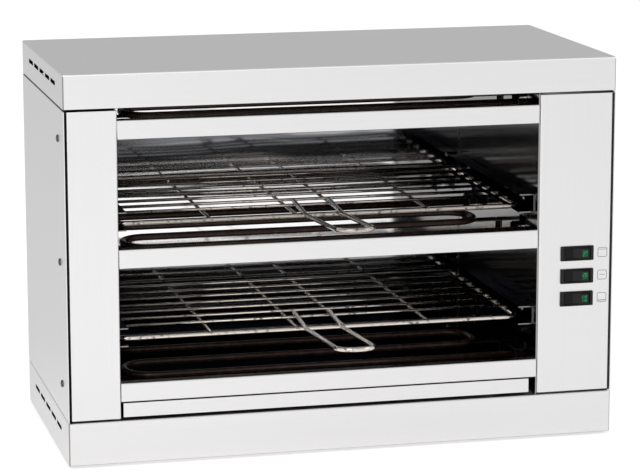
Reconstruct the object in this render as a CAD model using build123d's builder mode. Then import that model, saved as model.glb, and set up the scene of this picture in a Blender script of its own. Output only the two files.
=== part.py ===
from build123d import *
from math import asin, atan2, cos, degrees, hypot, radians, sin, tan
import os

os.makedirs("parts", exist_ok=True)

# Driving dimensions in millimetres. Heights are measured from the casing's lower edge,
# depths from the front face and widths from the left side, until the datum below.
body_width = 520
body_depth = 260
body_height = 360
cap_height = 32
base_height = 40
foot_height = 3
sheet = 1.0
fold_radius = 1.6
inner_lip = 10
fit_gap = 0.3

# Front frame: a post on the left, the control panel on the right, three cross bars between.
post_width = 48.5
panel_width = 73.5
post_foot_gap = 2.0
post_head_gap = 2.0
post_side_gap = 1.8
post_side_flange = 45
post_joggle = 7
post_inner_return = 10
side_head_gap = 0.9
flange_setback = 14
bar_height = 18
bar_return = 10
lower_bar_rise = 17
lower_deck_height = 106
upper_bar_drop = 10.7

# Cooking space
left_wall_step = 5
wall_flange = 12

# Rails and wire racks
lower_rail_rise = 49
upper_rail_rise = 32.5
rail_height = 17.5
rail_depth = 14.5
rail_front = 12
rail_length = 236
frame_wire = 5.0
rod_wire = 3.0
handle_wire = 4.2
rack_post_gap = 0.4
rack_rail_play = 7.5
rack_front = 30
rack_depth = 216
rack_corner = 9
rod_count = 7
rod_pitch = 28
first_rod = 33
cross_wire_lift = 1.0
pair_half_spacing = 22.3
outer_cross_offset = 104
handle_width = 34
handle_corner = 15
handle_knee = 12
handle_tail = 1.5
handle_reach = 111
handle_dip = 17
handle_rise = 8.5

# Heating elements
element_diameter = 6.5
element_bend = 24
lower_element_rise = 13
middle_element_rise = 10
top_element_rise = 14.7
leg_front = 44
leg_pitch = 52
element_left = 21
inner_bend_inset = 28
element_tail = 18
bush_neck_radius = 5.5
bush_head = 5
nut_flats = 14
terminal_length = 14
terminal_radius = 2
clip_width = 16
clip_lip = 5
clip_play = 3
clip_foot = 14
clamp_width = 20
clamp_stand = 9
clamp_shoulder = 6
clamp_foot = 7
clamp_drop = 7

# Crumb tray
tray_left_gap = 2.2
tray_right_gap = 8.4
tray_level = 43.2
tray_height = 13
tray_side = 9
tray_depth = 244
tray_grip = 8
runner_width = 12
runner_inset = 30
runner_setback = 25

# Rocker switches
switch_from_right = 35.7
lowest_switch_level = 131.2
switch_pitch = 21.75
switch_count = 3
bezel_length = 32.4
bezel_height = 14
bezel_thickness = 2
housing_length = 29.8
housing_height = 12
housing_depth = 22
rocker_radius = 12.6
rocker_height = 9.5
rocker_pivot_depth = 2
rocker_hollow = 3.2
rocker_back = 4
rocker_tilt = 7
rocker_dish = 7.5
pin_radius = 1.0
pin_fit = 0.06
lens_length = 5
lens_height = 6.5
lens_offset = 7.8
tab_width = 6.3
tab_thickness = 0.8
tab_length = 9
tab_spacing = 10
bezel_corner = 0.8
pocket_play = 1.5
pin_length = 0.9
lens_sink = 1.2
lens_stand = 0.4

# Vents, screws, feet and the cable entry
vent_length = 28.5
vent_height = 4
vent_pitch = 35.2
vent_count = 5
cap_vent_rise = 18
base_vent_drop = 16
rear_vent_length = 34
rear_vent_pitch = 12
rear_vent_count = 6
rear_vent_rise = 104
rear_vent_drop = 58
rail_screw_inset = 30
side_screw_depth = 33
side_screw_inset = 30
rear_screw_inset = 30
flange_screw_setback = 100
screw_radius = 2
screw_head_radius = 3.4
screw_head = 1.6
screw_length = 8
screw_fit = 0.1
foot_inset = 30
foot_radius = 11
foot_taper = 1
foot_recess_radius = 5.5
foot_recess = 2.2
gland_level = 75
gland_from_right = 36
gland_radius = 8
gland_dome_radius = 10
gland_bore_radius = 4
gland_flats = 22
gland_hex = 5
gland_dome = 7
gland_neck = 8
gland_nut = 4
block_from_rear = 90
block_length = 42
block_width = 20
block_height = 16
block_poles = 4
block_slot = 2
block_hole_radius = 2
earth_from_right = 30
earth_from_rear = 35
earth_radius = 2.5
earth_flats = 8
earth_nut = 4
earth_length = 14
head_taper = 25

# Datum: the middle of the whole object's footprint, on the surface that it stands on.
front_reach = handle_reach + handle_wire / 2
rear_reach = gland_hex + gland_dome
front_face = (front_reach - body_depth - rear_reach) / 2
rear_face = front_face + body_depth
left_face = -body_width / 2
right_face = body_width / 2
casing_bottom = foot_height
base_top = casing_bottom + base_height
casing_top = casing_bottom + body_height
cap_bottom = casing_top - cap_height
middle_depth = (front_face + rear_face) / 2

# Places that several pieces share
opening_left = left_face + post_width
opening_right = right_face - panel_width
cavity_left = opening_left - left_wall_step
cavity_right = opening_right - sheet
wall_front = front_face + post_inner_return
wall_rear = rear_face - sheet
wall_top = cap_bottom - sheet
panel_inside_left = left_face + sheet + fit_gap
panel_inside_right = right_face - sheet - fit_gap
lower_bar_bottom = base_top + lower_bar_rise
middle_bar_bottom = lower_bar_bottom + bar_height + lower_deck_height
upper_bar_bottom = cap_bottom - upper_bar_drop - bar_height
switch_x = right_face - switch_from_right
rod_radius = rod_wire / 2
frame_radius = frame_wire / 2
handle_radius = handle_wire / 2
element_radius = element_diameter / 2


def finish(part, label):
    """Give the finished piece its name and write it as a STEP file."""
    part.label = label
    export_step(part, f"parts/{label}.step")


def folded(plane, points, length, side=Side.LEFT):
    """Fold a sheet along an open outline and draw it out along the plane's normal."""
    with BuildSketch(plane) as section:
        with BuildLine():
            FilletPolyline(*points, radius=fold_radius)
            offset(amount=sheet, side=side)
        make_face()
    extrude(section.sketch, amount=length)


def plate(plane, x_from, x_to, y_from, y_to, thickness, mode=Mode.ADD):
    """A flat rectangle between two corners of a plane, given a thickness."""
    with BuildSketch(plane) as outline:
        with Locations(((x_from + x_to) / 2, (y_from + y_to) / 2)):
            Rectangle(x_to - x_from, y_to - y_from)
    extrude(outline.sketch, amount=thickness, mode=mode)


def round_holes(plane, places, radius, depth):
    """Cut round holes of one size at places of a plane."""
    with BuildSketch(plane) as holes:
        with Locations(*places):
            Circle(radius)
    extrude(holes.sketch, amount=depth, mode=Mode.SUBTRACT)


def facing_front(y):
    """An upright plane at depth y whose normal points out of the front."""
    return Plane((0, y, 0), x_dir=(1, 0, 0), z_dir=(0, -1, 0))


def facing_right(x):
    """An upright plane at width x whose normal points right."""
    return Plane.YZ.offset(x)


def tray_shell(bottom, height):
    """An upturned tray folded from sheet, with a lip turned in round its lower edge."""
    with BuildSketch(Plane.XY.offset(bottom)) as outline:
        with Locations((0, middle_depth)):
            RectangleRounded(body_width, body_depth, fold_radius)
    extrude(outline.sketch, amount=height)
    top_face = faces().sort_by(Axis.Z)[-1]
    fillet(top_face.edges(), radius=fold_radius)
    with BuildSketch(Plane.XY.offset(bottom + sheet)) as hollow:
        with Locations((0, middle_depth)):
            Rectangle(body_width - 2 * sheet, body_depth - 2 * sheet)
    extrude(hollow.sketch, amount=height - 2 * sheet, mode=Mode.SUBTRACT)
    with BuildSketch(Plane.XY.offset(bottom)) as mouth:
        with Locations((0, middle_depth)):
            Rectangle(body_width - 2 * inner_lip, body_depth - 2 * inner_lip)
    extrude(mouth.sketch, amount=sheet, mode=Mode.SUBTRACT)


def vent_row(level):
    """A row of slots through both side skirts of a tray."""
    with BuildSketch(facing_right(left_face - sheet)) as slots:
        with Locations((middle_depth, level)):
            with GridLocations(vent_pitch, 1, vent_count, 1):
                SlotOverall(vent_length, vent_height)
    extrude(slots.sketch, amount=body_width + 2 * sheet, mode=Mode.SUBTRACT)


flange_screw_left = left_face + inner_lip / 2 + sheet
flange_screw_places = [(side * flange_screw_left, front_face + flange_screw_setback) for side in (1, -1)]
foot_places = [
    (x, y)
    for x in (left_face + foot_inset, right_face - foot_inset)
    for y in (front_face + foot_inset, rear_face - foot_inset)
]
earth_x = right_face - earth_from_right
earth_y = rear_face - earth_from_rear

# Casing: the base and the cap are upturned trays with slotted side skirts
with BuildPart() as base_pan:
    tray_shell(casing_bottom, base_height)
    vent_row(base_top - base_vent_drop)
    round_holes(Plane.XY.offset(base_top - sheet), flange_screw_places, screw_radius + screw_fit, sheet)
finish(base_pan.part, "base_pan")

with BuildPart() as top_cap:
    tray_shell(cap_bottom, cap_height)
    vent_row(cap_bottom + cap_vent_rise)
    round_holes(Plane.XY.offset(cap_bottom), flange_screw_places, screw_radius + screw_fit, sheet)
finish(top_cap.part, "top_cap")

with BuildPart() as bottom_cover:
    with BuildSketch(Plane.XY.offset(casing_bottom + sheet)):
        with Locations((0, middle_depth)):
            Rectangle(body_width - 2 * sheet - 2 * fit_gap, body_depth - 2 * sheet - 2 * fit_gap)
        with Locations(*foot_places):
            Circle(screw_radius + screw_fit, mode=Mode.SUBTRACT)
    extrude(amount=sheet)
finish(bottom_cover.part, "bottom_cover")

# Side panels: a web with flanges turned in under the cap, on the base and at the back
side_middle = (base_top + cap_bottom) / 2
side_top = cap_bottom - side_head_gap
side_screw_levels = [base_top + side_screw_inset, side_middle, cap_bottom - side_screw_inset]
side_screw_places = [(front_face + side_screw_depth, level) for level in side_screw_levels]
rear_screw_levels = [base_top + rear_screw_inset, side_middle, cap_bottom - rear_screw_inset]
for name, outside, inward in (("left_side_panel", left_face, 1), ("right_side_panel", right_face, -1)):
    with BuildPart() as side_panel:
        flange_edge = outside + inward * (wall_flange + sheet)
        folded(
            facing_front(front_face),
            [(flange_edge, base_top), (outside, base_top), (outside, side_top), (flange_edge, side_top)],
            -body_depth,
            Side.RIGHT if inward > 0 else Side.LEFT,
        )
        notch_from, notch_to = sorted((outside + inward * 2 * fold_radius, flange_edge))
        plate(
            facing_front(front_face), notch_from, notch_to, base_top, cap_bottom,
            -flange_setback, Mode.SUBTRACT,
        )
        flange_from, flange_to = sorted((outside + inward * sheet / 2, flange_edge))
        plate(
            facing_front(rear_face - sheet), flange_from, flange_to,
            base_top + sheet / 2, side_top - sheet / 2, sheet,
        )
        round_holes(
            facing_right(outside), side_screw_places, screw_radius + screw_fit, inward * sheet
        )
        for level in (base_top, side_top - sheet):
            round_holes(
                Plane.XY.offset(level),
                [place for place in flange_screw_places if place[0] * inward < 0],
                screw_radius + screw_fit, sheet,
            )
        rear_screw_x = outside + inward * (wall_flange / 2 + sheet)
        round_holes(
            facing_front(rear_face - sheet),
            [(rear_screw_x, level) for level in rear_screw_levels],
            screw_radius + screw_fit, sheet,
        )
    finish(side_panel.part, name)

# The rear panel closes the back, with vents behind the controls and a hole for the gland
rear_panel_bottom = base_top + sheet + fit_gap
rear_panel_top = side_top - sheet - fit_gap
compartment_middle = (opening_right + panel_inside_right) / 2
gland_x = right_face - gland_from_right
gland_z = casing_bottom + gland_level
rear_screw_offset = wall_flange / 2 + sheet
rear_screw_places = [
    (x, level) for x in (left_face + rear_screw_offset, right_face - rear_screw_offset)
    for level in rear_screw_levels
]
with BuildPart() as rear_panel:
    plate(
        facing_front(rear_face), panel_inside_left, panel_inside_right,
        rear_panel_bottom, rear_panel_top, sheet,
    )
    for vent_level in (base_top + rear_vent_rise, cap_bottom - rear_vent_drop):
        with BuildSketch(facing_front(rear_face)):
            with Locations((compartment_middle, vent_level)):
                with GridLocations(1, rear_vent_pitch, 1, rear_vent_count):
                    SlotOverall(rear_vent_length, vent_height)
        extrude(amount=sheet, mode=Mode.SUBTRACT)
    round_holes(facing_front(rear_face), [(gland_x, gland_z)], gland_radius + screw_fit, sheet)
    round_holes(facing_front(rear_face), rear_screw_places, screw_radius + screw_fit, sheet)
finish(rear_panel.part, "rear_panel")

# Front post and control panel: folded uprights that close the two ends of the front
post_bottom = base_top + post_foot_gap
post_top = cap_bottom - post_head_gap
post_left = left_face + sheet + post_side_gap
post_right = right_face - sheet - post_side_gap
side_flange_end = front_face + post_side_flange
joggle_start = front_face + post_joggle
joggle_end = joggle_start + 2 * (post_side_gap - fit_gap)
with BuildPart() as front_left_post:
    folded(
        Plane.XY.offset(post_bottom),
        [
            (panel_inside_left, side_flange_end), (panel_inside_left, joggle_end),
            (post_left, joggle_start), (post_left, front_face),
            (opening_left, front_face), (opening_left, wall_front),
        ],
        post_top - post_bottom,
    )
    round_holes(facing_right(panel_inside_left), side_screw_places, screw_radius + screw_fit, sheet)
finish(front_left_post.part, "front_left_post")

lowest_switch = casing_bottom + lowest_switch_level
switch_levels = [lowest_switch + place * switch_pitch for place in range(switch_count)]
with BuildPart() as control_panel:
    folded(
        Plane.XY.offset(post_bottom),
        [
            (opening_right, wall_front), (opening_right, front_face),
            (post_right, front_face), (post_right, joggle_start),
            (panel_inside_right, joggle_end), (panel_inside_right, side_flange_end),
        ],
        post_top - post_bottom,
    )
    round_holes(
        facing_right(panel_inside_right), side_screw_places, screw_radius + screw_fit, -sheet
    )
    with BuildSketch(facing_front(front_face)):
        with Locations(*[(switch_x, level) for level in switch_levels]):
            Rectangle(housing_length + 2 * screw_fit, housing_height + 2 * screw_fit)
    extrude(amount=-sheet, mode=Mode.SUBTRACT)
finish(control_panel.part, "control_panel")

# Heating element: one tube bent into four legs, with both tails out through the right wall
element_levels = (
    lower_bar_bottom + lower_element_rise,
    middle_bar_bottom + middle_element_rise,
    upper_bar_bottom + top_element_rise,
)
leg_a, leg_b, leg_c, leg_d = (front_face + leg_front + place * leg_pitch for place in range(4))
element_left_x = cavity_left + element_left
element_right_x = cavity_right - inner_bend_inset
element_end_x = opening_right + element_tail
tail_places = [(leg, level) for level in element_levels for leg in (leg_a, leg_d)]

# Rails: where the racks slide, and the screws that hold them
rail_start = front_face + rail_front
rail_levels = (lower_bar_bottom + lower_rail_rise, middle_bar_bottom + upper_rail_rise)
rail_screw_depths = (rail_start + rail_screw_inset, rail_start + rail_length - rail_screw_inset)
rail_screw_places = [
    (depth, level + rail_height / 2) for level in rail_levels for depth in rail_screw_depths
]

# Cavity walls, back and top reflector
with BuildPart() as cavity_left_wall:
    folded(
        Plane.XY.offset(base_top),
        [
            (opening_left, wall_front), (cavity_left - sheet, wall_front),
            (cavity_left - sheet, wall_rear - sheet), (cavity_left - wall_flange, wall_rear - sheet),
        ],
        wall_top - base_top,
        Side.RIGHT,
    )
    round_holes(facing_right(cavity_left), rail_screw_places, screw_radius + screw_fit, -sheet)
finish(cavity_left_wall.part, "cavity_left_wall")

with BuildPart() as cavity_right_wall:
    folded(
        Plane.XY.offset(base_top),
        [
            (cavity_right, front_face + 2 * sheet), (cavity_right, wall_rear),
            (cavity_right + wall_flange, wall_rear),
        ],
        wall_top - base_top,
        Side.RIGHT,
    )
    round_holes(facing_right(cavity_right), rail_screw_places, screw_radius + screw_fit, sheet)
    round_holes(facing_right(cavity_right), tail_places, bush_neck_radius + screw_fit, sheet)
finish(cavity_right_wall.part, "cavity_right_wall")

with BuildPart() as cavity_rear_wall:
    plate(
        facing_front(wall_rear), cavity_left + fit_gap, cavity_right - fit_gap,
        base_top, wall_top, sheet,
    )
finish(cavity_rear_wall.part, "cavity_rear_wall")

with BuildPart() as top_reflector:
    plate(
        Plane.XY.offset(wall_top), cavity_left - wall_flange, cavity_right + wall_flange,
        wall_front + 2 * sheet, wall_rear, sheet,
    )
finish(top_reflector.part, "top_reflector")

# Cross bars: channels with both edges returned into the cooking space
bar_left = opening_left + fit_gap
bar_right = cavity_right - fit_gap
for name, bar_bottom in (
    ("lower_bar", lower_bar_bottom),
    ("middle_bar", middle_bar_bottom),
    ("upper_bar", upper_bar_bottom),
):
    bar_top = bar_bottom + bar_height
    with BuildPart() as cross_bar:
        folded(
            facing_right(bar_left),
            [
                (front_face + bar_return, bar_top), (front_face, bar_top),
                (front_face, bar_bottom), (front_face + bar_return, bar_bottom),
            ],
            bar_right - bar_left,
        )
    finish(cross_bar.part, name)

for height, level in zip(("lower", "upper"), rail_levels):
    for hand, web, inward in (("left", cavity_left, 1), ("right", cavity_right, -1)):
        tip = web + inward * rail_depth
        with BuildPart() as rail:
            folded(
                facing_front(rail_start),
                [(tip, level), (web, level), (web, level + rail_height), (tip, level + rail_height)],
                -rail_length,
                Side.RIGHT if inward > 0 else Side.LEFT,
            )
            round_holes(
                facing_right(web),
                [place for place in rail_screw_places if level < place[1] < level + rail_height],
                screw_radius + screw_fit, inward * sheet,
            )
        finish(rail.part, f"{height}_{hand}_rail")


def round_wire(path, wire_radius):
    """A round wire or tube along a path."""
    with BuildSketch(Plane(origin=path @ 0, z_dir=path % 0)) as section:
        Circle(wire_radius)
    sweep(section.sketch, path=path)


def bent_wire(points, wire_radius, bends):
    """A round wire or tube along straight runs joined by bends."""
    with BuildLine() as route:
        FilletPolyline(*points, radius=bends)
    round_wire(route.line, wire_radius)


# Wire racks: a frame loop with four cross wires, the long rods that lie on it, and a pull handle
rack_left = opening_left + rack_post_gap + frame_radius
rack_right = cavity_right - sheet - rack_rail_play - frame_radius
rack_middle = (rack_left + rack_right) / 2
rack_near = front_face + rack_front
rack_far = rack_near + rack_depth
cross_offsets = (-outer_cross_offset, -pair_half_spacing, pair_half_spacing, outer_cross_offset)
rod_depths = [rack_near + first_rod + place * rod_pitch for place in range(rod_count)]
rod_rise = frame_radius + rod_radius
wire_step = frame_radius - rod_radius
handle_slope = atan2(rod_rise, first_rod) - asin(wire_step / hypot(first_rod, rod_rise))
for height, level in zip(("lower", "upper"), rail_levels):
    frame_z = level + sheet + fit_gap + frame_radius
    rod_z = frame_z + rod_rise
    with BuildPart() as rack_frame:
        with BuildSketch(Plane.XY.offset(frame_z), mode=Mode.PRIVATE) as outline:
            with Locations((rack_middle, (rack_near + rack_far) / 2)):
                RectangleRounded(rack_right - rack_left, rack_depth, rack_corner)
        round_wire(outline.sketch.face().outer_wire(), frame_radius)
        with BuildSketch(facing_front(rack_near)):
            with Locations(*[
                (rack_middle + offset_x, frame_z + cross_wire_lift) for offset_x in cross_offsets
            ]):
                Circle(rod_radius)
        extrude(amount=-rack_depth)
    finish(rack_frame.part, f"{height}_rack_frame")

    with BuildPart() as rack_rods:
        with BuildSketch(facing_right(rack_left - rod_radius)):
            with Locations(*[(depth, rod_z) for depth in rod_depths]):
                Circle(rod_radius)
        extrude(amount=rack_right - rack_left + rod_wire)
    finish(rack_rods.part, f"{height}_rack_rods")

    # The handle's legs lie on the first rod and the front wire, dip, and rise to the bow
    rod_reach = rod_radius + handle_radius
    line_depth = rod_depths[0] - rod_reach * sin(handle_slope)
    line_height = rod_z + rod_reach * cos(handle_slope)
    tail_depth = rod_depths[0] + handle_tail
    knee_depth = rack_near - handle_dip
    tail_z = line_height + (tail_depth - line_depth) * tan(handle_slope)
    knee_z = line_height + (knee_depth - line_depth) * tan(handle_slope)
    bow_depth = front_face - handle_reach
    left_leg = [
        (rack_middle - handle_width / 2, tail_depth, tail_z),
        (rack_middle - handle_width / 2, knee_depth, knee_z),
        (rack_middle - handle_width / 2, bow_depth, knee_z + handle_rise),
    ]
    right_leg = [(2 * rack_middle - x, y, z) for x, y, z in reversed(left_leg)]
    with BuildPart() as rack_handle:
        bent_wire(
            left_leg + right_leg, handle_radius,
            [handle_knee, handle_corner, handle_corner, handle_knee],
        )
    finish(rack_handle.part, f"{height}_rack_handle")

# Heating elements with their bushes, terminal pins and the clips that carry the bends
for name, level in zip(("lower", "middle", "top"), element_levels):
    with BuildPart() as element:
        bent_wire(
            [
                (element_end_x, leg_a, level), (element_left_x, leg_a, level),
                (element_left_x, leg_b, level), (element_right_x, leg_b, level),
                (element_right_x, leg_c, level), (element_left_x, leg_c, level),
                (element_left_x, leg_d, level), (element_end_x, leg_d, level),
            ],
            element_radius, element_bend,
        )
    finish(element.part, f"{name}_element")

with BuildPart() as element_bushes:
    with BuildSketch(facing_right(opening_right)):
        with Locations(*tail_places):
            RegularPolygon(nut_flats / 2, 6, major_radius=False)
    extrude(amount=bush_head)
    with BuildSketch(facing_right(cavity_right)):
        with Locations(*tail_places):
            Circle(bush_neck_radius)
    extrude(amount=sheet)
    round_holes(facing_right(cavity_right), tail_places, element_radius + pin_fit, sheet + bush_head)
finish(element_bushes.part, "element_bushes")

with BuildPart() as element_terminals:
    with BuildSketch(facing_right(element_end_x)):
        with Locations(*tail_places):
            Circle(terminal_radius)
    extrude(amount=terminal_length)
finish(element_terminals.part, "element_terminals")

left_clip_depths = ((leg_a + leg_b) / 2, (leg_c + leg_d) / 2)
right_clip_depth = (leg_b + leg_c) / 2
clip_reach = element_radius + clip_play
clamp_x = cavity_right - clamp_stand
with BuildPart() as element_clips:
    for level in element_levels:
        seat = level - element_radius
        for wall, bend, depths, side in (
            (cavity_left, element_left_x + clip_reach, left_clip_depths, Side.RIGHT),
            (cavity_right, element_right_x - clip_reach, (right_clip_depth,), Side.LEFT),
        ):
            for depth in depths:
                folded(
                    facing_front(depth - clip_width / 2),
                    [(wall, seat - clip_foot), (wall, seat), (bend, seat), (bend, seat + clip_lip)],
                    -clip_width,
                    side,
                )
        for leg in (leg_a, leg_d):
            folded(
                facing_front(leg - clamp_width / 2),
                [
                    (cavity_right, level + clamp_shoulder + clamp_foot),
                    (cavity_right, level + clamp_shoulder),
                    (clamp_x, level + clamp_shoulder), (clamp_x, level - clamp_drop),
                ],
                -clamp_width,
                Side.RIGHT,
            )
    round_holes(
        facing_right(clamp_x - sheet), tail_places, element_radius + fit_gap, 2 * sheet
    )
finish(element_clips.part, "element_clips")

# Crumb tray and the runners that it slides on
tray_left = opening_left + tray_left_gap
tray_right = opening_right - tray_right_gap
tray_width = tray_right - tray_left
tray_bottom = casing_bottom + tray_level
tray_top = tray_bottom + tray_height
tray_rear = front_face + tray_depth
with BuildPart() as crumb_tray:
    with BuildSketch(Plane.XY.offset(tray_bottom)):
        with Locations(((tray_left + tray_right) / 2, (front_face + tray_rear) / 2)):
            RectangleRounded(tray_width, tray_depth, 2 * fold_radius)
    extrude(amount=tray_side)
    fillet(crumb_tray.faces().sort_by(Axis.Z)[0].edges(), radius=fold_radius)
    with BuildSketch(Plane.XY.offset(tray_bottom + sheet)):
        with Locations(((tray_left + tray_right) / 2, (front_face + tray_rear) / 2)):
            RectangleRounded(tray_width - 2 * sheet, tray_depth - 2 * sheet, 2 * fold_radius - sheet)
    extrude(amount=tray_side, mode=Mode.SUBTRACT)
    plate(facing_front(front_face + sheet), tray_left, tray_right, tray_bottom, tray_top, sheet)
    plate(
        Plane.XY.offset(tray_top - sheet), tray_left, tray_right,
        front_face, front_face + tray_grip, sheet,
    )
finish(crumb_tray.part, "crumb_tray")

runner_height = tray_bottom - fit_gap - base_top
with BuildPart() as tray_runners:
    with BuildSketch(Plane.XY.offset(base_top)):
        with Locations(
            (tray_left + runner_inset, front_face + (runner_setback + tray_depth) / 2),
            (tray_right - runner_inset, front_face + (runner_setback + tray_depth) / 2),
        ):
            RectangleRounded(runner_width, tray_depth - runner_setback, runner_width / 4)
    extrude(amount=runner_height)
finish(tray_runners.part, "tray_runners")

# Rocker switches: a housing pushed into the panel, a rocker on its pins and a green lens
front_plane = facing_front(front_face)
bezel_plane = facing_front(front_face - bezel_thickness)
pivot_y = front_face + rocker_pivot_depth
pocket_reach = rocker_radius + 2 * fit_gap
pocket_depth = rocker_pivot_depth + rocker_back + rocker_radius * sin(radians(rocker_tilt)) + pocket_play
window_reach = rocker_radius + fit_gap / 2
far = 2 * rocker_radius
dish_rise = far * tan(radians(rocker_dish))
for name, level in zip(("lower", "middle", "upper"), switch_levels):
    with BuildPart() as housing:
        with BuildSketch(front_plane):
            with Locations((switch_x, level)):
                RectangleRounded(bezel_length, bezel_height, bezel_corner)
        extrude(amount=bezel_thickness)
        chamfer(housing.faces().sort_by(Axis.Y)[0].edges(), length=bezel_corner)
        plate(
            front_plane, switch_x - housing_length / 2, switch_x + housing_length / 2,
            level - housing_height / 2, level + housing_height / 2, -housing_depth,
        )
        half_slot = rocker_height / 2 + fit_gap
        plate(
            bezel_plane, switch_x - window_reach, switch_x + window_reach,
            level - half_slot, level + half_slot, -bezel_thickness, Mode.SUBTRACT,
        )
        plate(
            front_plane, switch_x - pocket_reach, switch_x + pocket_reach,
            level - half_slot, level + half_slot, -pocket_depth, Mode.SUBTRACT,
        )
        round_holes(
            Plane.XY.offset(level - housing_height / 2), [(switch_x, pivot_y)],
            pin_radius + pin_fit, housing_height,
        )
    finish(housing.part, f"{name}_switch_housing")

    rocker_plane = Plane((switch_x, pivot_y, level)).rotated((0, 0, -rocker_tilt))
    facet_plane = Plane(
        rocker_plane.from_local_coords(
            (lens_offset, -rocker_hollow - lens_offset * tan(radians(rocker_dish)), 0)
        ),
        x_dir=Vector(1, 0, 0).rotate(Axis.Z, -rocker_tilt - rocker_dish),
        z_dir=Vector(0, -1, 0).rotate(Axis.Z, -rocker_tilt - rocker_dish),
    )
    with BuildPart() as rocker:
        with BuildSketch(rocker_plane.offset(-rocker_height / 2)):
            Circle(rocker_radius)
            Polygon(
                (-far, -rocker_hollow - dish_rise), (0, -rocker_hollow), (far, -rocker_hollow - dish_rise),
                (far, rocker_back), (-far, rocker_back), align=None, mode=Mode.INTERSECT,
            )
        extrude(amount=rocker_height)
        with BuildSketch(rocker_plane.offset(-rocker_height / 2 - pin_length)):
            Circle(pin_radius)
        extrude(amount=rocker_height + 2 * pin_length)
        with BuildSketch(facet_plane) as lens_seat:
            Rectangle(lens_length + screw_fit, lens_height + screw_fit)
        extrude(amount=-lens_sink, mode=Mode.SUBTRACT)
    finish(rocker.part, f"{name}_rocker")

    with BuildPart() as lens:
        with BuildSketch(facet_plane.offset(-lens_sink)):
            Rectangle(lens_length, lens_height)
        extrude(amount=lens_sink + lens_stand)
        fillet(lens.faces().sort_by(Axis.Y)[0].edges(), radius=lens_stand)
    finish(lens.part, f"{name}_lens")

with BuildPart() as switch_tabs:
    with BuildSketch(facing_front(front_face + housing_depth)):
        for level in switch_levels:
            with Locations((switch_x, level)):
                with GridLocations(tab_spacing, 1, 3, 1):
                    Rectangle(tab_thickness, tab_width)
    extrude(amount=-tab_length)
finish(switch_tabs.part, "switch_tabs")

# Cable entry and the wiring points behind the control panel
gland_plane = facing_front(rear_face)
with BuildPart() as cable_gland:
    with BuildSketch(gland_plane):
        with Locations((gland_x, gland_z)):
            RegularPolygon(gland_flats / 2, 6, major_radius=False)
    extrude(amount=-gland_hex)
    with BuildSketch(gland_plane.offset(-gland_hex)):
        with Locations((gland_x, gland_z)):
            Circle(gland_dome_radius)
    extrude(amount=-gland_dome)
    fillet(cable_gland.faces().sort_by(Axis.Y)[-1].edges(), radius=gland_dome / 2)
    with BuildSketch(gland_plane):
        with Locations((gland_x, gland_z)):
            Circle(gland_radius)
    extrude(amount=gland_neck)
    round_holes(
        gland_plane.offset(gland_neck), [(gland_x, gland_z)], gland_bore_radius,
        -gland_neck - gland_hex - gland_dome,
    )
finish(cable_gland.part, "cable_gland")

with BuildPart() as gland_locknut:
    with BuildSketch(gland_plane.offset(sheet)):
        with Locations((gland_x, gland_z)):
            RegularPolygon(gland_flats / 2, 6, major_radius=False)
            Circle(gland_radius + pin_fit, mode=Mode.SUBTRACT)
    extrude(amount=gland_nut)
finish(gland_locknut.part, "gland_locknut")

block_y = rear_face - block_from_rear
with BuildPart() as terminal_block:
    with BuildSketch(Plane.XY.offset(base_top)):
        with Locations((compartment_middle, block_y)):
            Rectangle(block_length, block_width)
    extrude(amount=block_height)
    with BuildSketch(Plane.XY.offset(base_top + block_height)):
        with Locations((compartment_middle, block_y)):
            with GridLocations(block_length / block_poles, 1, block_poles - 1, 1):
                Rectangle(block_slot, block_width)
    extrude(amount=-block_height / 2, mode=Mode.SUBTRACT)
    with BuildSketch(facing_front(block_y - block_width / 2)):
        with Locations((compartment_middle, base_top + block_height / 4)):
            with GridLocations(block_length / block_poles, 1, block_poles, 1):
                Circle(block_hole_radius)
    extrude(amount=-block_width, mode=Mode.SUBTRACT)
    with BuildSketch(Plane.XY.offset(base_top + block_height)):
        with Locations((compartment_middle, block_y)):
            with GridLocations(block_length / block_poles, block_width / 2, block_poles, 2):
                Circle(block_hole_radius)
    extrude(amount=-block_height / 3, mode=Mode.SUBTRACT)
finish(terminal_block.part, "terminal_block")

with BuildPart() as earth_stud:
    with BuildSketch(Plane.XY.offset(base_top)):
        with Locations((earth_x, earth_y)):
            RegularPolygon(earth_flats / 2, 6, major_radius=False)
    extrude(amount=earth_nut)
    with BuildSketch(Plane.XY.offset(base_top)):
        with Locations((earth_x, earth_y)):
            Circle(earth_radius)
    extrude(amount=earth_length)
finish(earth_stud.part, "earth_stud")

# Feet and screws
foot_stand = casing_bottom + sheet
foot_slope = degrees(atan2(foot_taper, foot_stand))
with BuildPart() as rubber_feet:
    for place in foot_places:
        with BuildSketch(Plane.XY) as tread:
            with Locations(place):
                Circle(foot_radius - foot_taper)
        extrude(tread.sketch, amount=foot_stand, taper=-foot_slope)
    round_holes(Plane.XY, foot_places, foot_recess_radius, foot_recess)
    round_holes(Plane.XY, foot_places, screw_radius + screw_fit, foot_stand)
finish(rubber_feet.part, "rubber_feet")


def screw_set(seats, label, length=screw_length):
    """Domed screws, one for each plane that a head sits on."""
    with BuildPart() as screws:
        for seat in seats:
            with BuildSketch(seat) as head:
                Circle(screw_head_radius)
            extrude(head.sketch, amount=screw_head, taper=head_taper)
            with BuildSketch(seat) as shank:
                Circle(screw_radius)
            extrude(shank.sketch, amount=-length)
    finish(screws.part, label)


def seat_planes(places, normal):
    """Planes for screw heads at places, all facing one way."""
    return [Plane(place, z_dir=normal) for place in places]


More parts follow.
